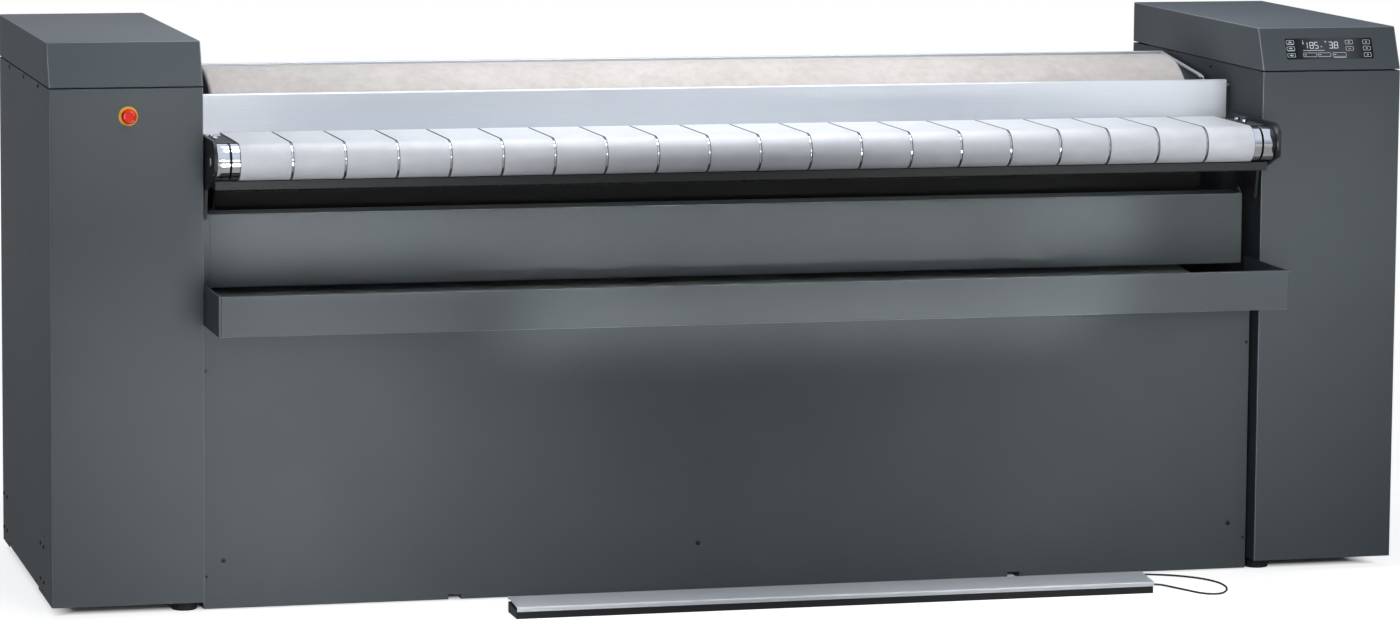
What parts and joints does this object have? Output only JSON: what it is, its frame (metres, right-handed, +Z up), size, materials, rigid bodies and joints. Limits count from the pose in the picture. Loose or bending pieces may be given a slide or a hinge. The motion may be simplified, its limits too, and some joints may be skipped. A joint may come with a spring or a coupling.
{
  "type": "flatwork ironer",
  "caption": "Floor-standing flatwork ironer with side columns, a cloth-covered roller over a heated trough, belt feed table, finger guard, laundry tray and foot bar.",
  "frame": {"origin": "on the floor, under the middle of the machine's outer box (without the foot bar's cable)", "axes": "+X along the roller from the left column to the right one, +Y to the rear, +Z up"},
  "size_m": [2.7548, 1.0604, 1.112],
  "materials": {
    "anthracite": "anthracite powder coat, satin",
    "black_metal": "black powder coat",
    "zinc": "zinc-plated sheet",
    "polished_steel": "ground and polished steel",
    "chrome": "bright chrome",
    "belt": "white coated webbing",
    "padding": "woven roller cloth",
    "guard": "satin anodised",
    "aluminium": "satin extrusion",
    "black_plastic": "black, fine texture",
    "rubber": "black",
    "cable": "black sheath",
    "glass": "dark, printed from behind",
    "board": "green circuit board",
    "yellow": "signal yellow",
    "red": "signal red",
    "motor": "grey paint",
    "screw": "blackened"
  },
  "bodies": {
    "chassis": {"side_frames": "zinc", "right_front_cover": "anthracite", "left_front_cover": "anthracite", "right_outer_cover": "anthracite", "left_outer_cover": "anthracite", "right_inner_cover": "anthracite", "left_inner_cover": "anthracite", "right_rear_cover": "anthracite", "left_rear_cover": "anthracite", "left_hood": "anthracite", "right_hood": "anthracite", "display_glass": "glass", "control_board": "board", "cross_beams": "black_metal", "lower_front_panel": "anthracite", "upper_front_panel": "anthracite", "return_plate": "polished_steel", "laundry_tray": "anthracite", "rear_panel": "anthracite", "rear_roller_cover": "guard", "table_brackets": "black_metal", "feed_belts": "belt", "feed_roller_bearings": "black_plastic", "table_sheet": "anthracite", "table_pan": "anthracite", "table_screws": "chrome", "feed_motor": "motor", "finger_guard_pivots": "zinc", "roller_bearings": "motor", "drive_chain": "screw", "drive_motor": "motor", "trough_guide_pins": "polished_steel", "lift_shaft_bearings": "motor", "lift_motor": "motor", "exhaust_fan_housing": "zinc", "mains_terminal_box": "zinc", "emergency_stop_collar": "yellow", "levelling_feet": "rubber", "cover_screws": "screw", "foot_bar_base": "black_metal", "foot_cable": "cable", "foot_cable_glands": "rubber", "foot_bar_springs": "screw", "foot_bar_switch": "black_plastic"},
    "roller": {"roller_tube": "polished_steel", "roller_padding": "padding", "roller_ends": "black_metal", "roller_sprocket": "zinc"},
    "front_feed": {"front_feed_roller": "chrome"},
    "rear_feed": {"rear_feed_roller": "chrome"},
    "motor_wheel": {"motor_sprocket": "zinc"},
    "fan_wheel": {"fan_impeller": "zinc"},
    "trough": {"heated_trough": "polished_steel", "trough_carrier": "zinc", "heating_elements": "screw"},
    "lift": {"lift_shaft": "polished_steel"},
    "guard": {"finger_guard": "guard"},
    "stop_stem": {"emergency_stop_stem": "black_plastic"},
    "stop_head": {"emergency_stop_button": "red"},
    "treadle": {"foot_bar_plate": "aluminium"}
  },
  "joints": [
    {"name": "roller_spin", "type": "hinge", "parent": "chassis", "child": "roller", "pos_m": [0, 0.08025, 0.849], "axis": [1, 0, 0], "continuous": true},
    {"name": "front_feed_spin", "type": "hinge", "parent": "chassis", "child": "front_feed", "pos_m": [0, -0.40075, 0.888], "axis": [1, 0, 0], "continuous": true},
    {"name": "rear_feed_spin", "type": "hinge", "parent": "chassis", "child": "rear_feed", "pos_m": [0, -0.19275, 0.888], "axis": [1, 0, 0], "continuous": true},
    {"name": "motor_sprocket_spin", "type": "hinge", "parent": "chassis", "child": "motor_wheel", "pos_m": [1.161, 0.08025, 0.34], "axis": [1, 0, 0], "continuous": true},
    {"name": "fan_spin", "type": "hinge", "parent": "chassis", "child": "fan_wheel", "pos_m": [-1.229, 0.28925, 0.25], "axis": [1, 0, 0], "continuous": true},
    {"name": "trough_lift", "type": "slide", "parent": "chassis", "child": "trough", "axis": [0, 0, 1], "range_m": [0, 0.012]},
    {"name": "lift_shaft_turn", "type": "hinge", "parent": "chassis", "child": "lift", "pos_m": [0, 0.08025, 0.5], "axis": [1, 0, 0], "range_deg": [0, 120]},
    {"name": "finger_guard_swing", "type": "hinge", "parent": "chassis", "child": "guard", "pos_m": [0, -0.13075, 0.982], "axis": [1, 0, 0], "range_deg": [0, 8], "stiffness_Nm_per_rad": 8, "springref_deg": -5.73},
    {"name": "emergency_stop_press", "type": "slide", "parent": "chassis", "child": "stop_stem", "axis": [0, 1, 0], "range_m": [0, 0.004], "stiffness_N_per_m": 2500, "springref_m": -0.001},
    {"name": "emergency_stop_twist", "type": "hinge", "parent": "stop_stem", "child": "stop_head", "pos_m": [-1.224, -0.34775, 0.972], "axis": [0, 1, 0], "range_deg": [0, 45], "stiffness_Nm_per_rad": 0.05},
    {"name": "foot_bar_press", "type": "hinge", "parent": "chassis", "child": "treadle", "pos_m": [0.15025, -0.43175, 0.021], "axis": [1, 0, 0], "range_deg": [0, 3], "stiffness_Nm_per_rad": 30, "springref_deg": -2.86, "deforming": ["foot_bar_springs"]}
  ],
  "couplings": [
    {"joint": "front_feed_spin", "follows": "roller_spin", "ratio": -5.0694},
    {"joint": "rear_feed_spin", "follows": "roller_spin", "ratio": -5.0694},
    {"joint": "motor_sprocket_spin", "follows": "roller_spin", "ratio": 3.8},
    {"joint": "lift_shaft_turn", "follows": "trough_lift", "rad_per_m": 174.53}
  ]
}
